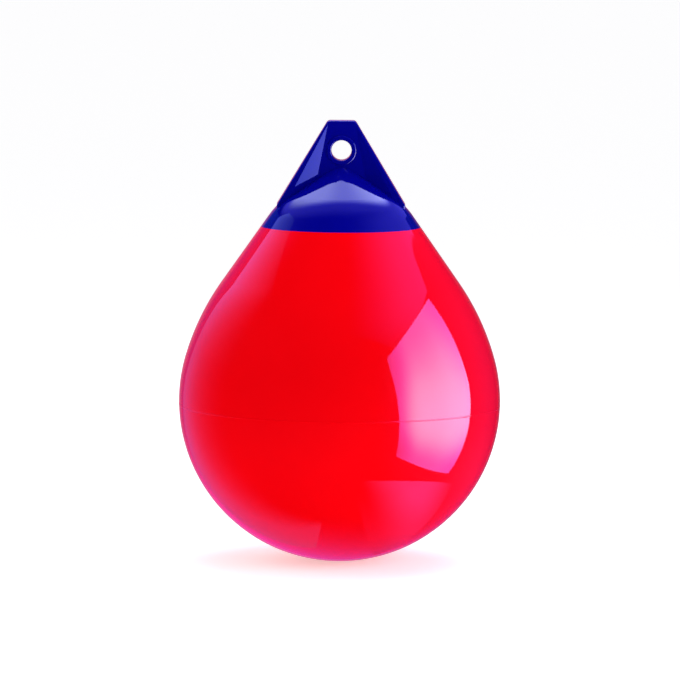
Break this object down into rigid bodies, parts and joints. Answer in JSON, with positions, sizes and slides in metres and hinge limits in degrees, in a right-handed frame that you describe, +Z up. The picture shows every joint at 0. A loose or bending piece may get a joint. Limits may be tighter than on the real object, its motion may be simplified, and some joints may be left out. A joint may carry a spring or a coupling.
{
  "type": "inflatable mooring buoy",
  "caption": "Teardrop inflatable vinyl mooring buoy with a glossy red skin, a blue moulded rope hold with a rope eye on top, and an air valve with a pull-out plug behind it.",
  "frame": {"origin": "on the buoy's axis at the waterline, where it floats light and upright", "axes": "+Z up through the rope eye, +Y to the back, where the air valve is, and along the eye's bore"},
  "size_m": [0.4305, 0.4306, 0.591],
  "materials": {
    "red_vinyl": "glossy moulded vinyl",
    "blue_vinyl": "glossy moulded vinyl",
    "valve_nylon": "moulded nylon",
    "plug_nylon": "moulded nylon"
  },
  "bodies": {
    "buoy": {"body_skin": "red_vinyl", "rope_hold": "blue_vinyl", "valve_body": "valve_nylon"},
    "plug": {"valve_plug": "plug_nylon"}
  },
  "joints": [
    {"name": "valve_plug_pull", "type": "slide", "parent": "buoy", "child": "plug", "axis": [0, 0.8192, 0.5736], "range_m": [0, 0.016]}
  ]
}
